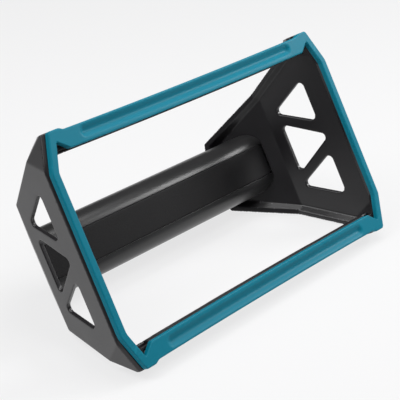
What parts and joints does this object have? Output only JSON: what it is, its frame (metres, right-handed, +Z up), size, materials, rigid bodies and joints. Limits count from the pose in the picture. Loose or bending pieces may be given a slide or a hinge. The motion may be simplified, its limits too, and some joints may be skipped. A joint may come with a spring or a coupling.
{
  "type": "parallette bar",
  "caption": "Low floor-standing parallette: a hollow rounded hand grip between folded channel legs with triangular windows, tied at the floor by rails on a soft anti-slip ring.",
  "frame": {"origin": "middle of the footprint, on the floor that the ring rests on", "axes": "+X along the grip, +Y across it, +Z up from the floor"},
  "size_m": [0.272, 0.15, 0.1],
  "materials": {
    "leg_plastic": "satin moulded black",
    "rail_plastic": "satin moulded black",
    "sole_rubber": "soft matte teal",
    "grip_plastic": "smooth semi-gloss black",
    "panel_plastic": "fine-grained matte black",
    "screw_steel": "zinc-plated"
  },
  "bodies": {
    "root": {"leg_left": "leg_plastic", "leg_right": "leg_plastic", "rail_front": "rail_plastic", "rail_rear": "rail_plastic", "sole_ring": "sole_rubber", "grip_shell": "grip_plastic", "grip_panel": "panel_plastic", "grip_screw_left_front": "screw_steel", "grip_screw_left_rear": "screw_steel", "grip_screw_right_front": "screw_steel", "grip_screw_right_rear": "screw_steel", "rail_screw_left_front": "screw_steel", "rail_screw_left_rear": "screw_steel", "rail_screw_right_front": "screw_steel", "rail_screw_right_rear": "screw_steel"}
  },
  "joints": []
}
